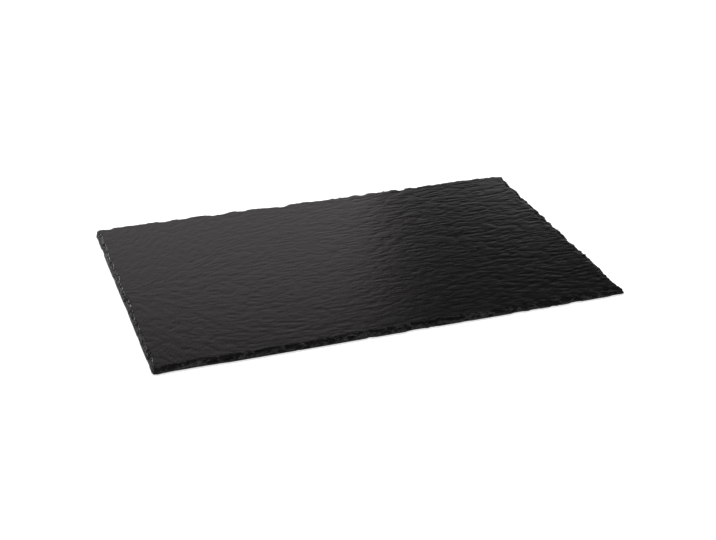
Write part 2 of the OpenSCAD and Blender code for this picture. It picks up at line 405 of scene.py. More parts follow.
@dataclass
class DressedEdge:
    """Edge that is dressed by hand with a knife: bays, blow scars and chips, cut into a bevel.

    The sides run anticlockwise from above: front, right, back, left, and values by side or by
    corner come in that order. Every cut is measured inward from the straight side.

    Attributes:
        length: Length of the board.
        depth: Depth of the board.
        thickness: Thickness of the slab.
        side_steps: Steps of a ring along each side.
        ring_shares: For each main ring, from the lower arris up, its height as a share of the
            thickness and how much of each cut it has, in the order of Cut. Two rings of one
            height make a ledge.
        bevel: Width of the bevel.
        side_bevel_shares: How much of it each side has.
        blow_pitch: Distance between two blows of the knife.
        blow_reach: Depth of a blow's deepest scar.
        side_scar_shares: How much of it each side has.
        chip_pitch: Distance between two small chips.
        chip_reach: Depth of the deepest chip.
        side_chip_shares: How much of it each side has.
        scar_move_share: How far a scar or chip strays from the middle of its pitch, in half
            pitches.
        scar_half_shares: Least and greatest half width of a scar or chip, in pitches.
        scar_depth_shares: Least and greatest depth of a scar or chip, as shares of its reach.
        corner_break: Cut of a whole broken corner.
        corner_shares: How much of it each corner has.
        corner_through_shares: How far each corner's break goes on down through the stone.
        break_run_share: Distance over which a broken corner fades out, in cuts.
        ledge_sway_share: Sway of a ledge's height, as a share of the thickness.
        ledge_least_share: Least width of a ledge, as a share of its full width.
        ledge_seed: Seed of the ledges' widths.
        leaves_per_band: Leaves of stone between two ledges.
        riser_shares: By side, how far a leaf's riser leans, as a share of the leaf's width.
        leaf_sways: By side, how far a leaf's height sways, as a share of its height.
        leaf_turns: By side, how much the grit changes from leaf to leaf. A low value cuts the
            same teeth through all of them, which shows in the outline.
        leaf_steps: Steps of the grit from leaf to leaf, and from a leaf's lower to its upper ring.
        grit_pitch: Distance between two grains of the broken stone.
        grit_reaches: By side, how deep the grit cuts.
        coarse_pitches: Distance between two coarse grains, in pitches of the grit.
        sway_pitches: Distance between two sways of a leaf, in the same pitches.
        grit_seeds: Seeds of the fine grit, of the coarse grit and of the leaves' sway.
        flake_counts: By side, the number of small flake scars.
        flake_half: Least and greatest half width of a flake scar.
        flake_flat: Its least and greatest half height, as shares of its half width.
        flake_reach: Depth of the deepest flake scar.
        flake_least_share: Depth of the smallest one, as a share of the reach.
        flake_size_power: Power that makes small flake scars more common than large ones.
        flake_top_share: Height of the highest one's middle, as a share of the thickness.
        flake_lift_powers: By side, powers that bring more flake scars up towards the face, and
            with them their painted shade, which darkens the edge just under the face.
        flake_shade: How fast the relief falls with the depth of a flake scar; the finish paints
            the low relief as shade.
        flake_seeds: Seeds of a flake scar's middle, height, size and flatness.
        corner_shade: Relief at the corners, which have no flake scars, and so their level of
        painted shade.
        stray_reach: How far the lower arris may stray inward.
        stray_shares: Its stray at even stations along each side, as shares of that reach.
        bay_reach: Depth of a whole bay.
        bay_shares: For each bay, its middle and its half width as shares of the side, and its
            depth as a share of the reach.
        spall_reach: Depth of a whole spall, where the top leaf came off.
        side_spall_shares: How much of it each side has.
        spall_shares: The spalls, written as the bays are.
    """

    length: float = BOARD_LENGTH
    depth: float = BOARD_DEPTH
    thickness: float = SLAB_THICKNESS
    side_steps: tuple[int, ...] = (400, 250, 400, 250)
    ring_shares: tuple[tuple[float, ...], ...] = (
        (0.00, 0.00, 0.60, 0.00, 0.30, 0.30, 0.00),
        (0.30, 0.15, 0.68, 0.14, 0.42, 0.34, 0.00),
        (0.30, 0.40, 0.76, 0.34, 0.58, 0.38, 0.00),
        (0.66, 0.55, 0.84, 0.62, 0.74, 0.45, 0.08),
        (0.66, 0.82, 0.92, 0.82, 0.88, 0.55, 0.30),
        (1.00, 1.00, 1.00, 1.00, 1.00, 1.00, 1.00),
    )
    bevel: float = 3.0
    side_bevel_shares: tuple[float, ...] = (0.3, 0.3, 0.1, 0.5)
    blow_pitch: float = 17.0
    blow_reach: float = 3.0
    side_scar_shares: tuple[float, ...] = (0.8, 0.8, 0.1, 0.5)
    chip_pitch: float = 7.0
    chip_reach: float = 1.2
    side_chip_shares: tuple[float, ...] = (0.8, 2.2, 0.1, 0.5)
    scar_move_share: float = 0.6
    scar_half_shares: tuple[float, float] = (0.5, 0.9)
    scar_depth_shares: tuple[float, float] = (0.3, 1.0)
    corner_break: float = 8.0
    corner_shares: tuple[float, ...] = (0.25, 1.0, 0.75, 0.25)
    corner_through_shares: tuple[float, ...] = (0.5, 0.0, 0.0, 0.4)
    break_run_share: float = 2.0
    ledge_sway_share: float = 0.11
    ledge_least_share: float = 0.08
    ledge_seed: int = 40
    leaves_per_band: int = 3
    riser_shares: tuple[float, ...] = (0.12, 0.12, 0.12, 0.5)
    leaf_sways: tuple[float, ...] = (0.5, 1.0, 0.5, 0.5)
    leaf_turns: tuple[float, ...] = (1.0, 0.2, 1.0, 1.0)
    leaf_steps: tuple[float, float] = (1.7, 0.4)
    grit_pitch: float = 1.9
    grit_reaches: tuple[float, ...] = (0.28, 1.5, 0.28, 0.28)
    coarse_pitches: float = 3.1
    sway_pitches: float = 2.3
    grit_seeds: tuple[int, int, int] = (11, 23, 37)
    flake_counts: tuple[int, ...] = (330, 180, 260, 200)
    flake_half: tuple[float, float] = (1.3, 4.6)
    flake_flat: tuple[float, float] = (0.3, 0.6)
    flake_reach: float = 1.3
    flake_least_share: float = 0.35
    flake_size_power: float = 1.5
    flake_top_share: float = 1.1
    flake_lift_powers: tuple[float, ...] = (0.5, 0.5, 0.5, 0.28)
    flake_shade: float = 1.6
    flake_seeds: tuple[int, int, int, int] = (301, 311, 321, 331)
    corner_shade: float = 0.45
    stray_reach: float = 2.2
    stray_shares: tuple[tuple[float, ...], ...] = (
        (0.3, 0.2, 0, 0, 0, 0.1, 0, 0.2, 0.1, 0.1, 0.2, 0.5, 0.6),
        (0.1, 0, 0, 0.05, 0, 0.1, 0, 0.1, 0),
        (0.2, 0.1, 0.15, 0.25, 0.25, 0.25, 0.25, 0.1, 0, 0, 0, 0, 0),
        (0.2, 0.1, 0, 0.05, 0.1, 0.15, 0.1, 0.05, 0.1),
    )
    bay_reach: float = 5.0
    bay_shares: tuple[tuple[Hollow, ...], ...] = (
        (
            (0.07, 0.075, 0.25), (0.13, 0.01, 0.15), (0.434, 0.01, 0.2), (0.53, 0.022, 0.45),
            (0.568, 0.009, 0.2), (0.638, 0.012, 0.15), (0.753, 0.015, 0.35), (0.791, 0.013, 0.25),
            (0.885, 0.015, 0.4), (0.978, 0.012, 0.3),
        ),
        (
            (0.07, 0.044, 0.45), (0.134, 0.026, 0.4), (0.204, 0.029, 0.3), (0.278, 0.025, 0.6),
            (0.331, 0.023, 0.35), (0.399, 0.034, 0.6), (0.532, 0.027, 0.4), (0.577, 0.02, 0.65),
            (0.636, 0.021, 0.4), (0.728, 0.025, 0.4), (0.814, 0.02, 0.45), (0.91, 0.034, 0.3),
        ),
        (
            (0.03, 0.025, 0.45), (0.079, 0.016, 0.4), (0.17, 0.015, 0.35), (0.217, 0.02, 0.4),
            (0.264, 0.011, 0.75), (0.298, 0.01, 0.2), (0.32, 0.012, 0.3), (0.364, 0.014, 0.45),
            (0.406, 0.012, 0.45), (0.43, 0.009, 0.35), (0.468, 0.03, 0.4), (0.568, 0.02, 1),
            (0.585, 0.035, 0.7), (0.662, 0.012, 0.4), (0.722, 0.026, 0.6), (0.802, 0.014, 0.45),
            (0.845, 0.017, 0.5), (0.985, 0.022, 0.5),
        ),
        (
            (0.04, 0.016, 0.15), (0.14, 0.028, 0.25), (0.36, 0.02, 0.12), (0.577, 0.05, 0.1),
            (0.78, 0.025, 0.12), (0.93, 0.02, 0.15),
        ),
    )
    spall_reach: float = 9.0
    side_spall_shares: tuple[float, ...] = (0.35, 1.0, 1.0, 0.4)
    spall_shares: tuple[tuple[Hollow, ...], ...] = (
        (
            (0.04, 0.014, 0.35), (0.13, 0.018, 0.5), (0.19, 0.012, 0.45), (0.27, 0.015, 0.35),
            (0.36, 0.012, 0.45), (0.45, 0.02, 0.4), (0.55, 0.015, 0.5), (0.62, 0.02, 0.4),
            (0.69, 0.02, 0.45), (0.76, 0.03, 0.55), (0.83, 0.035, 0.65), (0.89, 0.03, 0.75),
            (0.95, 0.04, 0.9),
        ),
        (
            (0.03, 0.04, 0.7), (0.1, 0.035, 0.9), (0.16, 0.03, 0.6), (0.22, 0.035, 0.8),
            (0.29, 0.03, 0.95), (0.35, 0.035, 0.65), (0.42, 0.04, 0.85), (0.49, 0.03, 0.6),
            (0.55, 0.035, 0.9), (0.62, 0.04, 1), (0.69, 0.03, 0.75), (0.76, 0.04, 0.95),
            (0.83, 0.035, 0.7), (0.9, 0.04, 0.9), (0.97, 0.035, 0.8),
        ),
        (
            (0.03, 0.02, 0.3), (0.217, 0.02, 0.25), (0.45, 0.03, 0.2), (0.722, 0.026, 0.35),
        ),
        (
            (0.1, 0.04, 0.3), (0.3, 0.05, 0.25), (0.5, 0.06, 0.35), (0.62, 0.03, 0.25),
            (0.75, 0.05, 0.3), (0.92, 0.05, 0.35),
        ),
    )

    @property
    def side_lengths(self) -> tuple[float, ...]:
        """Lengths of the front, right, back and left side."""
        return (self.length, self.depth, self.length, self.depth)

    def _places(self, side: int) -> np.ndarray:
        """Evenly spaced places along a side, both corners included."""
        return np.linspace(0, self.side_lengths[side], self.side_steps[side] + 1)

    def _calm(self, side: int, place: np.ndarray, run: float) -> np.ndarray:
        """Rises on a straight line from 0 at each corner of a side to 1 at a run from it.

        Args:
            side: Number of the side.
            place: Places along the side.
            run: The run.

        Returns:
            Shares from 0 to 1.
        """
        return np.clip(np.minimum(place, self.side_lengths[side] - place) / run, 0, 1)

    def _stray(self, side: int, t: np.ndarray) -> np.ndarray:
        """Stray of the lower arris as a share of its reach, eased from station to station.

        Args:
            side: Number of the side.
            t: Shares of the side's length.

        Returns:
            Shares of the reach.
        """
        shares = np.array(self.stray_shares[side])
        place = t * (len(shares) - 1)
        k = np.minimum(np.floor(place), len(shares) - 2).astype(int)
        return lerp(shares[k], shares[k + 1], ease(place - k))

    def _scoop(self, u: np.ndarray) -> np.ndarray:
        """Depth of a half-round scoop of depth 1 and half width 1, at u from its middle."""
        return np.sqrt(np.clip(1 - u * u, 0, 1))

    def _hollows(self, table: tuple[Hollow, ...], t: np.ndarray) -> np.ndarray:
        """Depth of a side's bays or spalls, as a share of their reach: the deepest scoop that
        covers a place.

        Args:
            table: The side's bays or spalls.
            t: Shares of the side's length.

        Returns:
            Shares of the reach.
        """
        middles, widths, depths = np.array(table).T[..., None]
        return np.max(depths * self._scoop((t - middles) / widths), 0)

    def _scars(self, side: int, place: np.ndarray, pitch: float, row: int) -> np.ndarray:
        """Depth of a row of scars, as a share of their reach: one scoop to a pitch, which the
        dice move, widen and deepen, and the deepest of the three that can cover a place.

        Args:
            side: Number of the side.
            place: Places along the side.
            pitch: Distance between scars.
            row: Number of the row.

        Returns:
            Shares of the reach.
        """
        k = np.floor(place / pitch) + np.arange(-1, 2)[:, None]
        throws = [dice(SIDES * k + side, DICE_PER_SCAR * row + n) for n in range(DICE_PER_SCAR)]
        moved = lerp(1 - self.scar_move_share, 1 + self.scar_move_share, throws[0]) / 2
        half = pitch * lerp(*self.scar_half_shares, throws[1])
        deep = lerp(*self.scar_depth_shares, throws[2])
        return np.max(deep * self._scoop((place - (k + moved) * pitch) / half), 0)

    def _break(self, corner: int, distance: np.ndarray, share: np.ndarray) -> np.ndarray:
        """Cut of a broken corner at a distance from it: its size, fading out on a straight line.

        Args:
            corner: Number of the corner.
            distance: Distances from it along a side.
            share: Share of the break that has come at the ring.

        Returns:
            The cuts.
        """
        size = self.corner_break * self.corner_shares[corner % SIDES]
        reached = lerp(share, 1, self.corner_through_shares[corner % SIDES])
        return size * reached * np.clip(1 - distance / (size * self.break_run_share), 0, 1)

    def _drift(self, side: int, place: np.ndarray, seed: int) -> np.ndarray:
        """Slow drift between 0 and 1 along a side, eased from one blow to the next.

        Args:
            side: Number of the side.
            place: Places along the side.
            seed: Whole number that picks the drift.

        Returns:
            Shares from 0 to 1.
        """
        k = np.floor(place / self.blow_pitch)
        return lerp(dice(k, seed + side), dice(k + 1, seed + side), ease(place / self.blow_pitch - k))

    def _side_share(self, shares: tuple[float, ...], side: int, place: np.ndarray) -> np.ndarray:
        """Share that a side has of a size. Near a corner it goes over to the mean of its two sides.

        Args:
            shares: Shares of the four sides.
            side: Number of the side.
            place: Places along the side.

        Returns:
            The shares at the places.
        """
        before, after = shares[(side - 1) % SIDES], shares[(side + 1) % SIDES]
        near = np.where(place < self.side_lengths[side] - place, before, after)
        calm = self._calm(side, place, self.corner_break * self.break_run_share)
        return lerp((shares[side] + near) / 2, shares[side], calm)

    def _ring(self, side: int, ring: int) -> tuple[np.ndarray, np.ndarray]:
        """Inset and height of one of the main rings along a side.

        Args:
            side: Number of the side.
            ring: Number of the ring, from the lower arris up.

        Returns:
            The insets from the straight side, and the heights above the underside.
        """
        place = self._places(side)
        side_l = self.side_lengths[side]
        calm = self._calm(side, place, self.corner_break * self.break_run_share)
        shares = np.array(self.ring_shares[ring])[:, None]
        lower = np.array(self.ring_shares[max(0, ring - 1)])[:, None]
        if shares[Cut.HEIGHT] == lower[Cut.HEIGHT]:
            drift = self._drift(side, place, self.ledge_seed + SIDES * ring)
            width = lerp(self.ledge_least_share, 1, drift)
            shares = lerp(lower, shares, lerp(1, width, calm))
        else:
            shares = np.repeat(shares, len(place), 1)
        t = place / side_l
        scar_share = shares[Cut.BLOW] * self.side_scar_shares[side]
        blows = (
            self.stray_reach * self._stray(side, t)
            + self.bay_reach * shares[Cut.BAY] * self._hollows(self.bay_shares[side], t)
            + self.blow_reach * scar_share * self._scars(side, place, self.blow_pitch, 0)
        )
        chip_reach = self.chip_reach * self.side_chip_shares[side]
        chips = chip_reach * shares[Cut.CHIP] * self._scars(side, place, self.chip_pitch, 1)
        spall_reach = self.spall_reach * self.side_spall_shares[side]
        spalls = spall_reach * shares[Cut.SPALL] * self._hollows(self.spall_shares[side], t)
        start_break = self._break(side, place, shares[Cut.BREAK])
        end_break = self._break(side + 1, side_l - place, shares[Cut.BREAK])
        side_bevel = self._side_share(self.side_bevel_shares, side, place)
        bevel = self.bevel * shares[Cut.BEVEL] * side_bevel
        inset = start_break + end_break + bevel + calm * (np.maximum(blows, spalls) + chips)
        share = self.ring_shares[ring][Cut.HEIGHT]
        seed = SIDES * round(share * len(self.ring_shares))
        sway = self.ledge_sway_share * (2 * self._drift(side, place, seed) - 1)
        swaying = 0 < share < 1
        return inset, self.thickness * (share + sway * swaying)

    def rings(self) -> list[tuple[BySide, BySide, BySide]]:
        """All rings of the edge, from the lower arris to the face.

        Between two ledges of the main rings the stone parts into thin leaves: each leaf has a
        nearly upright riser and a narrow tread, grit roughens each riser, and small flakes have
        sprung off everywhere.

        Returns:
            For each ring the insets, the heights and the relief of its four sides, which the
            finish paints as shade.
        """
        made: list[tuple[BySide, BySide]] = []
        for band in range(len(self.ring_shares) // 2):
            low = [self._ring(side, 2 * band) for side in range(SIDES)]
            high = [self._ring(side, 2 * band + 1) for side in range(SIDES)]
            for leaf in range(self.leaves_per_band):
                for top in (0, 1):
                    rise = (leaf + top) / self.leaves_per_band
                    number = self.leaves_per_band * band + leaf
                    made.append(self._leaf_ring(low, high, rise, number, top))
        for k in range(1, len(made)):
            for inset, below in zip(made[k][0], made[k - 1][0]):
                np.maximum(inset, below, out=inset)
        return [self._flaked(insets, heights) for insets, heights in made]

    def _flaked(self, insets: BySide, heights: BySide) -> tuple[BySide, BySide, BySide]:
        """Sets small flake scars into a ring, none of them at the corners.

        Args:
            insets: Insets of the four sides.
            heights: Heights of the four sides.

        Returns:
            The insets and the heights of the four sides, and the relief, which the finish paints
            as shade: 0, darkest, in the deepest scars, 1 where there is none, and its own value at
            the corners.
        """
        cut = []
        relief = []
        for side in range(SIDES):
            place = self._places(side)
            calm = self._calm(side, place, self.corner_break)
            depth = calm * self._flakes(side, place, heights[side])
            cut.append(insets[side] + self.flake_reach * depth)
            # Painted shade: the deeper a flake scar, the lower its relief, which the finish makes
            # darker.
            shaded = 1 - np.clip(self.flake_shade * depth, 0, 1)
            relief.append(lerp(self.corner_shade, shaded, calm))
        return cut, heights, relief

    def _flakes(self, side: int, place: np.ndarray, height: np.ndarray) -> np.ndarray:
        """Depth of the flake scars, as a share of their reach: the deepest of many small round
        scoops, which the dice throw over the side and make wide or narrow, and deep by their width.

        Args:
            side: Number of the side.
            place: Places along the side.
            height: Heights at those places.

        Returns:
            Shares of the reach.
        """
        k = np.arange(self.flake_counts[side])[:, None]
        throws = [dice(k, seed + side) for seed in self.flake_seeds]
        middle = throws[0] * self.side_lengths[side]
        lift = throws[1] ** self.flake_lift_powers[side]
        level = lift * self.thickness * self.flake_top_share
        size = throws[2] ** self.flake_size_power
        half = lerp(*self.flake_half, size)
        tall = half * lerp(*self.flake_flat, throws[3])
        spread = ((place - middle) / half) ** 2 + ((height - level) / tall) ** 2
        deep = lerp(self.flake_least_share, 1, size)
        return np.max(deep * np.sqrt(np.clip(1 - spread, 0, 1)), 0)

    def _leaf_ring(
        self,
        low: list[tuple[np.ndarray, np.ndarray]],
        high: list[tuple[np.ndarray, np.ndarray]],
        rise: float,
        leaf: int,
        top: int,
    ) -> tuple[BySide, BySide]:
        """One ring of a leaf: the inset goes from the foot of the band to its head by one tread
        to a leaf, with fine and coarse grit on top, and the height rises evenly, with a sway.

        Args:
            low: Inset and height of each side at the foot of the band.
            high: Inset and height of each side at the head of the band.
            rise: Share of the band's height.
            leaf: Number of the leaf, from the lower arris up.
            top: 1 at the leaf's upper ring, and 0 at its lower ring.

        Returns:
            The insets and the heights of the four sides.
        """
        insets = []
        heights = []
        per_leaf, per_tread = self.leaf_steps
        fine_seed, coarse_seed, sway_seed = self.grit_seeds
        above_arris = leaf > 0 or top > 0
        for side in range(SIDES):
            place = self._places(side)
            calm = self._calm(side, place, self.corner_break)
            grains = place / self.grit_pitch
            level = np.full_like(place, (per_leaf * leaf + per_tread * top) * self.leaf_turns[side])
            grit = noise(grains, level, fine_seed + side) ** 2
            coarse = noise(place / (self.coarse_pitches * self.grit_pitch), level, coarse_seed + side)
            rough = self.grit_reaches[side] * (grit + coarse) * calm * above_arris
            swell = noise(
                place / (self.sway_pitches * self.grit_pitch), level - per_tread * top, sway_seed + side
            )
            sway = self.leaf_sways[side] * (swell - 0.5)
            edge_of_band = rise in (0.0, 1.0)
            share = rise if edge_of_band else rise + sway * calm / self.leaves_per_band
            tread = leaf % self.leaves_per_band + 1 - self.riser_shares[side] * (1 - top)
            cut = above_arris * tread / self.leaves_per_band
            insets.append(lerp(low[side][0], high[side][0], cut) + rough)
            heights.append(lerp(low[side][1], high[side][1], share))
        return insets, heights

    def curves(
        self, insets: BySide, rim: float = 0.0, every: tuple[int, ...] = (1, 1, 1, 1)
    ) -> BySide:
        """The four curves of a ring in plan. A side's points are spread between its two corners,
        each of which is inset alike from both of its sides.

        Args:
            insets: Insets of the four sides, both corners included.
            rim: Further inset of the whole ring.
            every: Steps between the points that are kept, by side.

        Returns:
            For each side its points in X and Y, both ends included.
        """
        directions = np.array([[1, 0], [0, 1], [-1, 0], [0, -1]])
        normals = np.array([[0, 1], [-1, 0], [0, -1], [1, 0]])
        corners = np.array([c.value for c in Corner]) * np.array([self.length, self.depth]) / 2
        made = []
        for side in range(SIDES):
            inset = insets[side][:: every[side]] + rim
            t = np.linspace(0, 1, len(inset))[:, None]
            along = lerp(inset[0], self.side_lengths[side] - inset[-1], t)
            made.append(corners[side] + along * directions[side] + inset[:, None] * normals[side])
        return made


@dataclass
class RivenFace:
    """Face of the stone as splitting leaves it: fine ripples that follow the grain.

    The grain runs along the board, and near the left end it fans out, up towards the back edge
    and down towards the front.

    Attributes:
        ripple_depth: Greatest depth of the ripples.
        calm_share: How much of that depth the calm left end has.
        calm_until: Place along X where the calm end stops.
        calm_run: Distance over which the ripples then grow to their whole depth.
        along: Distance over which a ripple changes along its length.
        across: Half the distance between two ripples.
        wave_depths: How far a ripple's line swings, in slow waves and in quick ones.
        wave_runs: For each of these waves, its length and its width.
        fine_shares: Length and width of the fine ripples, as shares of along and across.
        groove_shares: Length and width of the grooves, as the same shares.
        groove_power: Power that makes the grooves thin.
        weights: Depths of the broad ripples, the fine ones and the grooves.
        middle_depth: Depth about which the ripples of two directions are blended.
        fan_angles: Angles of the grain at the left end, towards the front edge and towards the
            back edge, in degrees, before the steepest angle holds them.
        fan_reach: Distance from the left end over which the fan fades.
        fan_middle: Place along Y where the fan parts.
        fan_spread: Distance over which it turns from one angle to the other.
        dip_angle: Angle of the grain in the front right quarter.
        dip_start: Places along X and Y where it begins to dip.
        dip_run: Distance over which the dip grows.
        steepest_angle: Steepest angle of the grain.
        angle_step: Angle between two of the fixed directions.
        angle_sway: Sway of the grain's angle over the board.
        sway_runs: Length and width of that sway.
        seed: Seed of the face.
    """

    ripple_depth: float = 0.66
    calm_share: float = 0.42
    calm_until: float = -60.0
    calm_run: float = 260.0
    along: float = 6.4
    across: float = 3.7
    wave_depths: tuple[float, float] = (3.0, 0.4)
    wave_runs: tuple[tuple[float, float], ...] = ((36.0, 22.0), (11.0, 7.0))
    fine_shares: tuple[float, float] = (0.45, 0.5)
    groove_shares: tuple[float, float] = (2.2, 1.15)
    groove_power: int = 4
    weights: tuple[float, float, float] = (0.38, 0.17, 0.6)
    middle_depth: float = 0.45
    fan_angles: tuple[float, float] = (-98.0, 225.0)
    fan_reach: float = 64.0
    fan_middle: float = 16.0
    fan_spread: float = 40.0
    dip_angle: float = -9.0
    dip_start: tuple[float, float] = (80.0, 0.0)
    dip_run: float = 90.0
    steepest_angle: float = 60.0
    angle_step: float = 15.0
    angle_sway: float = 9.0
    sway_runs: tuple[float, float] = (80.0, 60.0)
    seed: int = 3

    def _grain_angle(self, x: np.ndarray, y: np.ndarray) -> np.ndarray:
        """Direction of the ripples: a fan that fades with the distance from the left end, a slight
        dip in the front right quarter, and a slow noise over all.

        The fan fades as an exponential, and turns from front to back as a hyperbolic tangent.

        Args:
            x: Places along the board.
            y: Places across it.

        Returns:
            Angles in degrees, from X towards Y.
        """
        fade = np.exp(-(x + BOARD_LENGTH / 2) / self.fan_reach)
        open_share = (1 + np.tanh((y - self.fan_middle) / self.fan_spread)) / 2
        right = ease(np.clip((x - self.dip_start[0]) / self.dip_run, 0, 1))
        front = ease(np.clip((self.dip_start[1] - y) / self.dip_run, 0, 1))
        swell = noise(x / self.sway_runs[0], y / self.sway_runs[1], self.seed)
        sway = self.angle_sway * (swell - 0.5)
        angle = fade * lerp(*self.fan_angles, open_share) + self.dip_angle * right * front + sway
        return np.clip(angle, -self.steepest_angle, self.steepest_angle)

    def _ripples(self, s: np.ndarray, t: np.ndarray, seed: int) -> np.ndarray:
        """Ripples that run along s: noise that is stretched along s, on wavy lines, with thin
        grooves where it crosses its middle.

        Args:
            s: Distances along the grain.
            t: Distances across the grain.
            seed: Whole number that the seeds of its noises follow.

        Returns:
            Depths from 0 to about 1.
        """
        seeds = iter(range(seed + 1, seed + SEEDS_PER_DIRECTION))
        wavy = t
        for depth, (run, width) in zip(self.wave_depths, self.wave_runs):
            wavy = wavy + depth * noise(s / run, t / width, next(seeds))
        broad = noise(s / self.along, wavy / self.across, next(seeds))
        run, width = self.fine_shares
        fine = noise(s / (run * self.along), wavy / (width * self.across), next(seeds))
        run, width = self.groove_shares
        ridge = 2 * noise(s / (run * self.along), wavy / (width * self.across), next(seeds)) - 1
        grooves = (1 - np.abs(ridge)) ** self.groove_power
        return self.weights[0] * broad + self.weights[1] * fine + self.weights[2] * grooves

    def ripples(self, x: np.ndarray, y: np.ndarray) -> np.ndarray:
        """Depth of the face below its highest point, as a share of the depth of the ripples:
        ripples in a few fixed directions, of which each place takes the two nearest its grain.

        Args:
            x: Places along the board.
            y: Places across it.

        Returns:
            Shares, 0 or more.
        """
        angle = self._grain_angle(x, y)
        total = np.zeros_like(x)
        weight = np.zeros_like(x)
        steps = round(self.steepest_angle / self.angle_step)
        for k in range(-steps, steps + 1):
            share = np.clip(1 - np.abs(angle / self.angle_step - k), 0, 1)
            a = math.radians(k * self.angle_step)
            s = x * math.cos(a) + y * math.sin(a)
            t = y * math.cos(a) - x * math.sin(a)
            seed = self.seed + SEEDS_PER_DIRECTION * (k + steps + 1)
            total += share * (self._ripples(s, t, seed) - self.middle_depth)
            weight += share**2
        rippled = total / np.sqrt(weight) + self.middle_depth
        grown = ease(np.clip((x - self.calm_until) / self.calm_run, 0, 1))
        return lerp(self.calm_share, 1, grown) * np.clip(rippled, 0, None)


def linear(hex_colour: str) -> tuple[float, float, float, float]:
    """An sRGB hex colour as linear values with full alpha: a straight line near black, and above
    it a power of the value with its offset.

    Args:
        hex_colour: Such as "#1c1b1c".

    Returns:
        Red, green, blue and alpha.
    """
    srgb = [int(hex_colour[k : k + 2], 16) / 255 for k in (1, 3, 5)]
    rgb = [
        c / SRGB_SLOPE if c <= SRGB_TOE else ((c + SRGB_OFFSET) / (1 + SRGB_OFFSET)) ** SRGB_POWER
        for c in srgb
    ]
    return (*rgb, 1.0)


def fill_ramp(ramp: bpy.types.ColorRamp, tones: Tones) -> None:
    """Gives a colour ramp its tones.

    Args:
        ramp: A new ramp, with its two first stops.
        tones: Two or more positions with their hex colours, in rising order.
    """
    first, *between, last = tones
    for stop, (position, colour) in zip(ramp.elements, (first, last)):
        stop.position = position
        stop.color = linear(colour)
    for position, colour in between:
        ramp.elements.new(position).color = linear(colour)


def add_node(
    tree: bpy.types.NodeTree, kind: str, settings: dict | None = None, links: dict | None = None
) -> bpy.types.Node:
    """Adds a node with its settings and links.

    Args:
        tree: The material's or the world's nodes.
        kind: The node's type, without its "ShaderNode".
        settings: Values by name of attribute or of input socket, and the tones of a colour ramp.
        links: By name or number of an input, the socket that feeds it, or a node whose first
            output does.

    Returns:
        The node.
    """
    node = tree.nodes.new("ShaderNode" + kind)
    for name, value in (settings or {}).items():
        if name == "color_ramp":
            fill_ramp(node.color_ramp, value)
        elif hasattr(node, name):
            setattr(node, name, value)
        else:
            node.inputs[name].default_value = value
    for name, source in (links or {}).items():
        socket = source.outputs[0] if isinstance(source, bpy.types.Node) else source
        tree.links.new(socket, node.inputs[name])
    return node


def new_material(name: str) -> tuple[bpy.types.Material, bpy.types.NodeTree, bpy.types.NodeSocket]:
    """Makes a material without a shader.

    Args:
        name: What the real material is.

    Returns:
        The material, its nodes, and the socket that gives places on the object.
    """
    material = bpy.data.materials.new(name)
    material.use_nodes = True
    material.node_tree.nodes.clear()
    return material, material.node_tree, add_node(material.node_tree, "TexCoord").outputs["Object"]


def scale_of(size_mm: float) -> float:
    """Scale of a pattern with this real size: how many lie in a metre."""
    return 1 / (size_mm * MM)


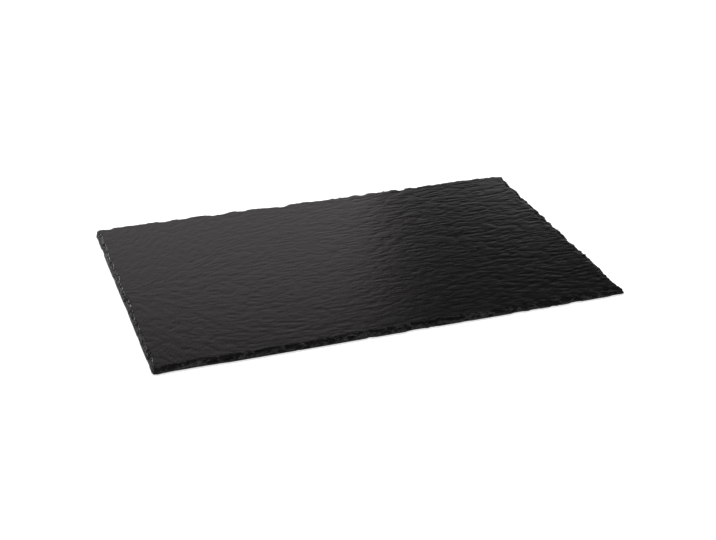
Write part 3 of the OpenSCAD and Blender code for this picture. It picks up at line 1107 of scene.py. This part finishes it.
@dataclass(frozen=True)
class RivenSlate:
    """Black roofing-grade slate as it splits, wiped with mineral oil.

    The oil makes it near black with a soft satin sheen, which lies on the crests of the ripples
    and breaks up in the finer grain. The crests are painted paler than the grooves, as painted
    shade that follows the ripples. It is barely warmer than grey.

    Attributes:
        tones: Tones from the grooves, in painted shade, to the crests.
        mottle_mm: Size of the slow mottle.
        streak_mm: Width of the streaks.
        streak_stretch: Their width, as a share of their length.
        streak_share: How much of the tone the streaks give beside the mottle.
        relief_shade_share: How much of it the ripples give, as painted shade in the grooves.
        grain_mm: Size of the grain, drawn coarser than the real one so that it shows.
        grain_range: Values of the grain between which the sheen changes.
        roughness: Least and greatest roughness.
        specular_level: Strength of the sheen, low because the stone soaks the oil up.
        grain_share: How much of the bumps the grain gives beside the streaks.
        bump_mm: Height of the bumps.
    """

    tones: Tones = ((0.3, "#070707"), (0.75, "#181717"))
    mottle_mm: float = 38.0
    streak_mm: float = 1.4
    streak_stretch: float = 0.12
    streak_share: float = 0.5
    relief_shade_share: float = 0.5
    grain_mm: float = 1.1
    grain_range: tuple[float, float] = (0.35, 0.65)
    roughness: tuple[float, float] = (0.27, 0.34)
    specular_level: float = 0.15
    grain_share: float = 0.45
    bump_mm: float = 0.024

    def make(self) -> bpy.types.Material:
        """Builds the material: mottle, streaks and relief mix into the tone, the grain
        moves the roughness, and streaks and grain raise the bumps.

        Returns:
            The material.
        """
        material, tree, place = new_material("oiled_riven_slate")
        slow_mottle = {"Scale": scale_of(self.mottle_mm), "Detail": 4.0}
        mottle = add_node(tree, "TexNoise", slow_mottle, {"Vector": place})
        along_grain = {"Scale": (self.streak_stretch, 1.0, 1.0)}
        stretched = add_node(tree, "Mapping", along_grain, {"Vector": place})
        fibrous = {"Scale": scale_of(self.streak_mm), "Detail": 6.0, "Roughness": 0.65}
        streaks = add_node(tree, "TexNoise", fibrous, {"Vector": stretched})
        gritty = {"Scale": scale_of(self.grain_mm), "Detail": 5.0, "Roughness": 0.7}
        grain = add_node(tree, "TexNoise", gritty, {"Vector": place})
        relief = add_node(tree, "Attribute", {"attribute_name": RELIEF_SHADE}).outputs["Fac"]
        blend = add_node(tree, "Mix", {"Factor": self.streak_share}, {MIX_A: mottle, MIX_B: streaks})
        # Painted shade: the relief darkens the grooves and lightens the crests of the ripples.
        tone = add_node(tree, "Mix", {"Factor": self.relief_shade_share}, {MIX_A: blend, MIX_B: relief})
        colour = add_node(tree, "ValToRGB", {"color_ramp": self.tones}, {"Fac": tone})
        ends = dict(zip(("From Min", "From Max", "To Min", "To Max"), self.grain_range + self.roughness))
        rough = add_node(tree, "MapRange", ends, {"Value": grain})
        fine = add_node(tree, "Mix", {"Factor": self.grain_share}, {MIX_A: streaks, MIX_B: grain})
        raised = {"Strength": 1.0, "Distance": self.bump_mm * MM}
        bump = add_node(tree, "Bump", raised, {"Height": fine})
        sheen = {"IOR": 1.5, "Specular IOR Level": self.specular_level}
        coat = {"Base Color": colour, "Roughness": rough, "Normal": bump}
        shader = add_node(tree, "BsdfPrincipled", sheen, coat)
        add_node(tree, "OutputMaterial", {}, {"Surface": shader})
        return material


@dataclass(frozen=True)
class DressedSlate:
    """The same slate where the dressing knife broke it.

    The fresh break is darker than the oiled face from the front and glitters at a low angle. The
    crushed leaves catch the light as pale specks among hollows that are painted near black as shade.

    Attributes:
        tones: Tones of the hollows, darkened as painted shade, of the plain break and of the crushed
        leaves.
        grit_mm: Size of the grit.
        leaf_stretch: How many times longer than high the grit is, as the leaves lie.
        patch_mm: Size of the paler and darker patches.
        patch_share: How much of the tone the patches give beside the grit.
        relief_shade_share: How much of it the flake scars give, as painted shade.
        roughness: Roughness of the break.
        specular_level: Strength of its glitter.
        bump_mm: Height of the bumps.
    """

    tones: Tones = ((0.42, "#0b0b0b"), (0.66, "#1f1f1f"), (0.85, "#6b6b6a"))
    grit_mm: float = 1.2
    leaf_stretch: float = 2.0
    patch_mm: float = 4.0
    patch_share: float = 0.18
    relief_shade_share: float = 0.35
    roughness: float = 0.48
    specular_level: float = 0.12
    bump_mm: float = 0.2

    def make(self) -> bpy.types.Material:
        """Builds the material: flat grit, patches and relief mix into the tone, and the
        grit raises the bumps.

        Returns:
            The material.
        """
        material, tree, place = new_material("dressed_slate_edge")
        flattened = {"Scale": (1.0, 1.0, self.leaf_stretch)}
        leaves = add_node(tree, "Mapping", flattened, {"Vector": place})
        crushed = {"Scale": scale_of(self.grit_mm), "Detail": 4.0, "Roughness": 0.7}
        grit = add_node(tree, "TexNoise", crushed, {"Vector": leaves})
        blotched = {"Scale": scale_of(self.patch_mm), "Detail": 3.0}
        patch = add_node(tree, "TexNoise", blotched, {"Vector": place})
        relief = add_node(tree, "Attribute", {"attribute_name": RELIEF_SHADE}).outputs["Fac"]
        mixed = add_node(tree, "Mix", {"Factor": self.patch_share}, {MIX_A: grit, MIX_B: patch})
        # Painted shade: the relief darkens the flake scars towards their bottoms.
        tone = add_node(tree, "Mix", {"Factor": self.relief_shade_share}, {MIX_A: mixed, MIX_B: relief})
        colour = add_node(tree, "ValToRGB", {"color_ramp": self.tones}, {"Fac": tone})
        raised = {"Strength": 1.0, "Distance": self.bump_mm * MM}
        bump = add_node(tree, "Bump", raised, {"Height": grit})
        dull = {"IOR": 1.5, "Specular IOR Level": self.specular_level, "Roughness": self.roughness}
        shader = add_node(tree, "BsdfPrincipled", dull, {"Base Color": colour, "Normal": bump})
        add_node(tree, "OutputMaterial", {}, {"Surface": shader})
        return material


@dataclass(frozen=True)
class MouldedRubber:
    """Black polyurethane rubber, cast as a bumper: matt, with a faint tooth that grips.

    Attributes:
        tones: Tones of the tooth, from its hollows to its worn tips.
        tooth_mm: Size of the tooth.
        tooth_depth_mm: Height of the tooth.
    """

    tones: Tones = ((0.0, "#151516"), (1.0, "#202021"))
    tooth_mm: float = 0.35
    tooth_depth_mm: float = 0.05

    def make(self) -> bpy.types.Material:
        """Builds the material: one fine noise gives the tone and the bumps.

        Returns:
            The material.
        """
        material, tree, place = new_material("black_bumper_rubber")
        toothed = {"Scale": scale_of(self.tooth_mm), "Detail": 3.0}
        tooth = add_node(tree, "TexNoise", toothed, {"Vector": place})
        colour = add_node(tree, "ValToRGB", {"color_ramp": self.tones}, {"Fac": tooth})
        raised = {"Strength": 0.5, "Distance": self.tooth_depth_mm * MM}
        bump = add_node(tree, "Bump", raised, {"Height": tooth})
        matt = {"Roughness": 0.7, "IOR": 1.5}
        shader = add_node(tree, "BsdfPrincipled", matt, {"Base Color": colour, "Normal": bump})
        add_node(tree, "OutputMaterial", {}, {"Surface": shader})
        return material


@dataclass(frozen=True)
class AcrylicFilm:
    """Double-sided acrylic adhesive film: milky, with small trapped bubbles.

    Attributes:
        tones: Tones of the bubbles and of the film between them.
        bubble_mm: Distance between two bubbles.
    """

    tones: Tones = ((0.2, "#dedacf"), (0.4, "#c9c4b6"))
    bubble_mm: float = 0.6

    def make(self) -> bpy.types.Material:
        """Builds the material: the distance from a cell's middle gives the tone.

        Returns:
            The material.
        """
        material, tree, place = new_material("acrylic_adhesive_film")
        cells = add_node(tree, "TexVoronoi", {"Scale": scale_of(self.bubble_mm)}, {"Vector": place})
        distance = cells.outputs["Distance"]
        colour = add_node(tree, "ValToRGB", {"color_ramp": self.tones}, {"Fac": distance})
        satin = {"Roughness": 0.4, "IOR": 1.47}
        shader = add_node(tree, "BsdfPrincipled", satin, {"Base Color": colour})
        add_node(tree, "OutputMaterial", {}, {"Surface": shader})
        return material


@dataclass
class SlateSlab:
    """The slab: riven face, dressed edge and riven underside, as one closed mesh.

    Attributes:
        edge: Its dressed edge.
        face: Its riven face.
        underside: Its riven underside, which is calmer.
        face_every: By side, steps of the edge to each cell of the face.
        under_every: The same for the underside.
        rim: Distance from the edge's last ring to the grid that fills it.
        seat_flat: Radius of the flat that is ground under each foot.
        seat_fade: Distance over which the ripples come back round it.
    """

    edge: DressedEdge = field(default_factory=DressedEdge)
    face: RivenFace = field(default_factory=RivenFace)
    underside: RivenFace = field(default_factory=lambda: RivenFace(ripple_depth=0.35, seed=211))
    face_every: tuple[int, ...] = (2, 1, 2, 1)
    under_every: tuple[int, ...] = (4, 2, 4, 2)
    rim: float = 1.1
    seat_flat: float = 8.0
    seat_fade: float = 6.0

    def _seat_calm(self, x: np.ndarray, y: np.ndarray) -> np.ndarray:
        """Share of the ripples that is left near the feet, under which the stone is ground flat.

        Args:
            x: Places along the board.
            y: Places across it.

        Returns:
            0 under a foot, 1 away from all feet, and eased between by the distance.
        """
        calm = np.ones_like(x)
        for corner in Corner:
            low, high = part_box("adhesive_" + corner.label)
            middle = (low + high) / 2 / MM
            distance = np.hypot(x - middle.x, y - middle.y)
            calm = np.minimum(calm, ease(np.clip((distance - self.seat_flat) / self.seat_fade, 0, 1)))
        return calm

    def build(self, stone: bpy.types.Material, broken: bpy.types.Material) -> bpy.types.Object:
        """Builds the slab.

        Args:
            stone: Finish of the riven face and underside.
            broken: Finish of the dressed edge.

        Returns:
            The slab, which stands for its CAD node.
        """
        low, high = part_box("slate_slab")
        base = low.z / MM
        top = base + self.edge.thickness
        parts = MeshParts()
        rings = self.edge.rings()

        loops = []
        shares = []
        for k, (insets, heights, relief) in enumerate(rings):
            plan = np.concatenate([c[:-1] for c in self.edge.curves(insets)])
            height = np.concatenate([h[:-1] for h in heights]) + base
            if k == len(rings) - 1:
                height = top - self.face.ripple_depth * self.face.ripples(plan[:, 0], plan[:, 1])
            loops.append(np.column_stack([plan, height]))
            # Relief of each ring, which the finish paints as shade.
            shares.append(np.concatenate([r[:-1] for r in relief]))
        around = len(loops[0])
        first = parts.add_points(np.concatenate(loops), np.concatenate(shares))
        bands = grid_quads(len(loops), around, first, closed=True)
        parts.add_faces(bands, Shading.FACETED, Finish.DRESSED)

        last = first + (len(loops) - 1) * around
        self._cap(parts, Skin.FACE, rings[-1][0], last, top)
        self._cap(parts, Skin.UNDERSIDE, rings[0][0], first, base)
        self._fit(parts, low / MM, high / MM)

        slab = parts.build("slate_slab_riven", [stone, broken])
        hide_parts("slate_slab")
        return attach(slab, BODY)

    def _cap(
        self, parts: MeshParts, skin: Skin, insets: BySide, first: int, level: float
    ) -> None:
        """Closes the edge with a grid that is rippled inward from a level plane.

        Args:
            parts: The slab's mesh.
            skin: Side of the slab that the grid makes.
            insets: Insets of the ring that is closed.
            first: Number of that ring's first point.
            level: Height of the plane.
        """
        if skin is Skin.FACE:
            riven, every = self.face, self.face_every
        else:
            riven, every = self.underside, self.under_every
        plan = coons_patch(self.edge.curves([deepest_near(i) for i in insets], self.rim, every))
        x, y = plan[..., 0], plan[..., 1]
        ripples = riven.ripples(x, y)
        if skin is Skin.UNDERSIDE:
            ripples *= self._seat_calm(x, y)
        height = level - skin.value * riven.ripple_depth * ripples
        # The relief that the finish paints as shade: 0 in the grooves, 1 on the crests.
        start = parts.add_points(np.dstack([plan, height]), 1 - np.clip(ripples, 0, 1))
        rows, columns = x.shape
        around = sum(self.edge.side_steps)
        ring = first + np.arange(around + 1) % around
        faces = [halves(grid_quads(rows, columns, start))]
        place = 0
        for side, inner in enumerate(rim_numbers(rows, columns, start)):
            steps = self.edge.side_steps[side]
            faces.append(zip_loops(ring[place : place + steps + 1], inner, every[side]))
            place += steps
        outward = np.concatenate(faces)[:, :: skin.value]
        parts.add_faces(outward, Shading.SMOOTH, Finish.RIVEN)

    def _fit(self, parts: MeshParts, low: Vector, high: Vector) -> None:
        """Keeps every point inside the CAD slab's box, which a scar's cusp could pass by a hair.

        Args:
            parts: The slab's mesh.
            low: Least corner of the box, in millimetres.
            high: Greatest corner of the box.
        """
        parts.points = [np.clip(p, np.array(low), np.array(high)) for p in parts.points]


@dataclass
class RubberFoot:
    """Cast bumper foot: a round pad with a flat rest, a dished middle and a soft shoulder.

    Attributes:
        corner: The corner that it stands under.
        around: Points round it.
        rest_share: Radius of the rest, as a share of the foot's.
        dish_share: Radius of the dish, as the same share.
        dish_depth: Depth of the dish.
        dish_steps: Points of the dish's curve.
        shoulder_share: Height of the shoulder, as a share of the foot's.
        round_steps: Points of the shoulder's curve.
        draft_share: How far the flank leans in, as a share of the radius.
        flank_share: Height of the flank's head, as a share of the foot's.
        flank_steps: Points of the flank's curve, with its first, which the shoulder has.
        head_shares: Radii of the rings of the upper face, as shares of the foot's.
    """

    corner: Corner
    around: int = 96
    rest_share: float = 0.62
    dish_share: float = 0.3
    dish_depth: float = 0.18
    dish_steps: int = 7
    shoulder_share: float = 0.6
    round_steps: int = 10
    draft_share: float = 0.06
    flank_share: float = 0.96
    flank_steps: int = 4
    head_shares: tuple[float, ...] = (0.91, 0.5, 0.0)

    def _profile(self, radius: float, top: float) -> np.ndarray:
        """Half profile from the middle of the rest to the middle of the upper face.

        The rest is dished at its middle on a cosine, the shoulder is a quarter of an ellipse, and
        the flank drafts in to the upper face.

        Args:
            radius: Radius at the shoulder.
            top: Height of the upper face.

        Returns:
            Distances from the axis and heights.
        """
        dish = np.linspace(0, 1, self.dish_steps)
        dip = self.dish_depth * (1 + np.cos(np.pi * dish)) / 2
        dished = np.column_stack([dish * radius * self.dish_share, dip])
        a = np.linspace(0, np.pi / 2, self.round_steps)
        rest = radius * self.rest_share
        climb = top * self.shoulder_share * (1 - np.cos(a))
        shoulder = np.column_stack([rest + (radius - rest) * np.sin(a), climb])
        draft = np.linspace(0, 1, self.flank_steps)[1:]
        rise = lerp(top * self.shoulder_share, top * self.flank_share, draft)
        flank = np.column_stack([radius * (1 - self.draft_share * draft**2), rise])
        head = np.array([[radius * share, top] for share in self.head_shares])
        return np.concatenate([dished, shoulder, flank, head])

    def build(self, rubber: bpy.types.Material) -> bpy.types.Object:
        """Builds the foot.

        Args:
            rubber: Its finish.

        Returns:
            The foot, which stands for its CAD node.
        """
        node = "foot_" + self.corner.label
        low, high = (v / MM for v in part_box(node))
        middle = (low + high) / 2
        profile = self._profile((high.x - low.x) / 2, high.z)
        piece = revolve(node + "_bumper", profile, middle, self.around, rubber)
        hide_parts(node)
        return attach(piece, BODY)


@dataclass
class AdhesivePad:
    """Disc of adhesive film between a foot and the stone, a little squeezed out at its rim.

    Attributes:
        corner: The corner that it lies under.
        around: Points round it.
        squeeze_share: How far its rim bulges, as a share of its radius.
        rim_steps: Points of the rim's curve.
    """

    corner: Corner
    around: int = 96
    squeeze_share: float = 0.03
    rim_steps: int = 9

    def build(self, film: bpy.types.Material) -> bpy.types.Object:
        """Builds the pad: flat below and above, with half an ellipse for its rim.

        Args:
            film: Its finish.

        Returns:
            The pad, which stands for its CAD node.
        """
        node = "adhesive_" + self.corner.label
        low, high = (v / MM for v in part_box(node))
        middle = (low + high) / 2
        radius = (high.x - low.x) / 2
        a = np.linspace(-np.pi / 2, np.pi / 2, self.rim_steps)
        inner = radius * (1 - self.squeeze_share)
        swell = inner + (radius - inner) * np.cos(a)
        rim = np.column_stack([swell, middle.z + (high.z - low.z) / 2 * np.sin(a)])
        profile = np.concatenate([[[0, low.z]], rim, [[0, high.z]]])
        piece = revolve(node + "_film", profile, middle, self.around, film)
        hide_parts(node)
        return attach(piece, BODY)


def revolve(
    name: str, profile: np.ndarray, middle: Vector, around: int, material: bpy.types.Material
) -> bpy.types.Object:
    """Turns a half profile round an upright axis. Each of its inner points becomes a ring, and
    its two ends become one point each.

    Args:
        name: Name of the piece.
        profile: Distances from the axis and heights, from the lower pole to the upper one.
        middle: A point on the axis, in millimetres.
        around: Points in a ring.
        material: Its finish.

    Returns:
        The piece.
    """
    a = np.linspace(0, 2 * np.pi, around, endpoint=False)
    ring = profile[1:-1]
    x = middle.x + ring[:, :1] * np.cos(a)
    y = middle.y + ring[:, :1] * np.sin(a)
    z = np.repeat(ring[:, 1:], around, 1)
    parts = MeshParts()
    start = parts.add_points(np.dstack([x, y, z]))
    ends = [[middle.x, middle.y, profile[end, 1]] for end in (0, -1)]
    poles = parts.add_points(np.array(ends))
    parts.add_faces(grid_quads(len(ring), around, start, closed=True), Shading.SMOOTH)
    k = start + np.arange(around)
    after = start + (np.arange(around) + 1) % around
    last = (len(ring) - 1) * around
    lower = np.stack([np.full(around, poles), after, k], -1)
    upper = np.stack([np.full(around, poles + 1), k + last, after + last], -1)
    parts.add_faces(np.concatenate([lower, upper]), Shading.SMOOTH)
    return parts.build(name, [material])


@dataclass
class SoftBox:
    """Large soft studio lamp that looks at the board.

    Attributes:
        name: Name of the lamp.
        azimuth: Its direction from the board in degrees, from +Y towards +X.
        elevation: Its height above the board in degrees.
        distance: Its distance from the board, in metres.
        size: Its width and height, in metres.
        power: Its power in watts.
        colour: Its colour.
    """

    name: str
    azimuth: float
    elevation: float
    distance: float
    size: tuple[float, float]
    power: float
    colour: str = "#ffffff"

    def build(self) -> bpy.types.Object:
        """Makes the lamp.

        Returns:
            The lamp, turned to the middle of the board.
        """
        lamp = bpy.data.lights.new(self.name, "AREA")
        lamp.shape = "RECTANGLE"
        lamp.size, lamp.size_y = self.size
        lamp.energy = self.power
        lamp.color = linear(self.colour)[:3]
        box = bpy.data.objects.new(self.name, lamp)
        a, e = math.radians(self.azimuth), math.radians(self.elevation)
        away = Vector((math.sin(a) * math.cos(e), math.cos(a) * math.cos(e), math.sin(e)))
        box.location = away * self.distance
        box.rotation_euler = away.to_track_quat("Z", "Y").to_euler()
        box.visible_camera = False
        bpy.context.scene.collection.objects.link(box)
        return box


@dataclass
class Studio:
    """White sweep, soft lamps and a dim room round them.

    The sweep is flat under the board and curves up far away, so it backs every view.

    Attributes:
        flat_reach: Radius of the flat floor, in metres.
        middle_share: Radius of its middle face, as a share of that.
        sweep_reach: Radius of the sweep's rim, in metres.
        sweep_rise: Height of the sweep's rim, in metres.
        rise_steps: Rings of its rise.
        around: Points in a ring.
        paper: Colour of the sweep.
        lift_near: What the white paper gains near the board, for what looks at it.
        lift_far: What it gains far away, where the lamps don't reach.
        lift_from: Distance from the board where the gain starts to grow, in metres.
        lift_to: Distance where it is whole, in metres.
        room_level: Strength of the dim room.
        lamps: The lamps. The cards are what the oiled face mirrors.
    """

    flat_reach: float = 7.0
    middle_share: float = 0.25
    sweep_reach: float = 14.0
    sweep_rise: float = 1.2
    rise_steps: int = 13
    around: int = 96
    paper: str = "#d6d6d6"
    lift_near: float = 0.75
    lift_far: float = 1.0
    lift_from: float = 0.4
    lift_to: float = 1.5
    room_level: float = 0.015
    # Name, azimuth, elevation, distance, size, power and colour of each.
    lamps: tuple[SoftBox, ...] = (
        SoftBox("key_card", 2.1, 19.3, 0.8, (0.57, 0.53), 0.98, "#fff8fb"),
        SoftBox("key_foot", 26.7, 16.5, 0.88, (0.14, 0.11), 0.038, "#fff8fb"),
        SoftBox("far_right_card", 44.9, 12.5, 0.8, (0.33, 0.13), 0.105),
        SoftBox("back_card", 35, 10, 0.44, (0.36, 0.06), 0.026),
        SoftBox("top_box", 180, 75, 2.4, (2.4, 1.8), 52),
        SoftBox("left_box", -80, 28, 2.2, (1.2, 0.9), 12),
        SoftBox("left_card", -42, 8, 0.65, (0.24, 0.18), 0.82, "#eeeef8"),
    )

    def _sweep(self) -> bpy.types.Object:
        """Makes the sweep: rings round the board, flat to the reach of the floor, then up with
        the square of the distance.

        Returns:
            The sweep, which takes no part in the object.
        """
        share = np.linspace(0, 1, self.rise_steps)
        risen = lerp(self.flat_reach, self.sweep_reach, share[1:])
        flat = [self.flat_reach * self.middle_share, self.flat_reach]
        radius = np.concatenate([flat, risen])
        height = np.concatenate([[0, 0], self.sweep_rise * share[1:] ** 2])
        a = np.linspace(0, 2 * np.pi, self.around, endpoint=False)
        level = np.repeat(height[:, None], self.around, 1)
        rings = np.stack([np.outer(radius, np.cos(a)), np.outer(radius, np.sin(a)), level], -1)
        quads = grid_quads(len(radius), self.around, 0, closed=True)[:, ::-1]
        mesh = bpy.data.meshes.new("studio_sweep")
        mesh.from_pydata(rings.reshape(-1, 3).tolist(), [], quads.tolist() + [list(range(self.around))])
        mesh.polygons.foreach_set("use_smooth", np.ones(len(mesh.polygons), dtype=bool))
        sweep = bpy.data.objects.new("studio_sweep", mesh)
        bpy.context.scene.collection.objects.link(sweep)
        return sweep

    def _paper(self) -> bpy.types.Material:
        """Matt white paper that takes the board's shadow, and looks white to the far rim: what
        looks at it sees a glow as well, which grows with the distance and lights nothing.

        Returns:
            The material.
        """
        material, tree, place = new_material("white_studio_paper")
        distance = add_node(tree, "VectorMath", {"operation": "LENGTH"}, {0: place}).outputs["Value"]
        ends = {"From Min": self.lift_from, "From Max": self.lift_to}
        gains = {"To Min": self.lift_near, "To Max": self.lift_far}
        lift = add_node(tree, "MapRange", ends | gains, {"Value": distance})
        path = add_node(tree, "LightPath")
        seen = path.outputs["Is Camera Ray"]
        for ray in ("Is Glossy Ray", "Is Transmission Ray"):
            seen = add_node(tree, "Math", {"operation": "MAXIMUM"}, {0: seen, 1: path.outputs[ray]})
        strength = add_node(tree, "Math", {"operation": "MULTIPLY"}, {0: lift, 1: seen})
        glow = add_node(tree, "Emission", {"Color": WHITE}, {"Strength": strength})
        matt = add_node(tree, "BsdfDiffuse", {"Color": linear(self.paper)})
        both = add_node(tree, "AddShader", {}, {0: matt, 1: glow})
        add_node(tree, "OutputMaterial", {}, {"Surface": both})
        return material

    def build(self) -> None:
        """Makes the sweep, the lamps and the room."""
        self._sweep().data.materials.append(self._paper())
        for lamp in self.lamps:
            lamp.build()
        world = bpy.data.worlds.new("dim_room")
        bpy.context.scene.world = world
        world.use_nodes = True
        world.node_tree.nodes.clear()
        dim = {"Color": WHITE, "Strength": self.room_level}
        room = add_node(world.node_tree, "Background", dim)
        add_node(world.node_tree, "OutputWorld", {}, {"Surface": room})


@dataclass
class PhotoCamera:
    """Camera as the board's outline in the photograph gives it.

    Attributes:
        focal_px: Focal length in pixels of the photograph's width.
        azimuth: Direction of view in degrees, from +Y towards +X.
        elevation: Angle by which it looks down, in degrees.
        roll: Turn about its line of sight, in degrees.
        place: Place in millimetres, above the middle of the slab's underside.
        sensor_mm: Width of the sensor.
        near_clip: Nearest distance that it sees, in metres.
    """

    focal_px: float = 1344.0
    azimuth: float = 20.018
    elevation: float = 28.03
    roll: float = 0.91
    place: tuple[float, float, float] = (-459.0, -1281.2, 716.4)
    sensor_mm: float = 36.0
    near_clip: float = 0.01

    def build(self) -> bpy.types.Object:
        """Makes the camera and gives it to the scene.

        Returns:
            The camera.
        """
        data = bpy.data.cameras.new("photo_camera")
        data.sensor_width = self.sensor_mm
        data.lens = self.focal_px / PHOTO_WIDTH_PX * self.sensor_mm
        data.clip_start = self.near_clip
        camera = bpy.data.objects.new("photo_camera", data)
        a, e, r = (math.radians(v) for v in (self.azimuth, self.elevation, self.roll))
        ahead = Vector((math.sin(a) * math.cos(e), math.cos(a) * math.cos(e), -math.sin(e)))
        right = Vector((math.cos(a), -math.sin(a), 0))
        up = right.cross(ahead)
        turned_right = right * math.cos(r) + up * math.sin(r)
        turned_up = up * math.cos(r) - right * math.sin(r)
        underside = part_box("slate_slab")[0].z
        spot = Vector(self.place) * MM + Vector((0, 0, underside))
        turn = Matrix((turned_right, turned_up, -ahead)).transposed()
        camera.matrix_world = Matrix.Translation(spot) @ turn.to_4x4()
        bpy.context.scene.collection.objects.link(camera)
        bpy.context.scene.camera = camera
        return camera


def main() -> None:
    """Builds the board, the studio and the camera."""
    logging.basicConfig(level=logging.INFO, format="%(name)s: %(message)s")
    PhotoCamera().build()
    pieces = [SlateSlab().build(RivenSlate().make(), DressedSlate().make())]
    rubber = MouldedRubber().make()
    film = AcrylicFilm().make()
    for corner in Corner:
        pieces.append(RubberFoot(corner).build(rubber))
        pieces.append(AdhesivePad(corner).build(film))
    for piece in pieces:
        log.info("%s has %d triangles", piece.name, len(piece.data.polygons))
    Studio().build()
    scene = bpy.context.scene
    scene.view_settings.view_transform = "Standard"


if __name__ == "__main__":
    main()
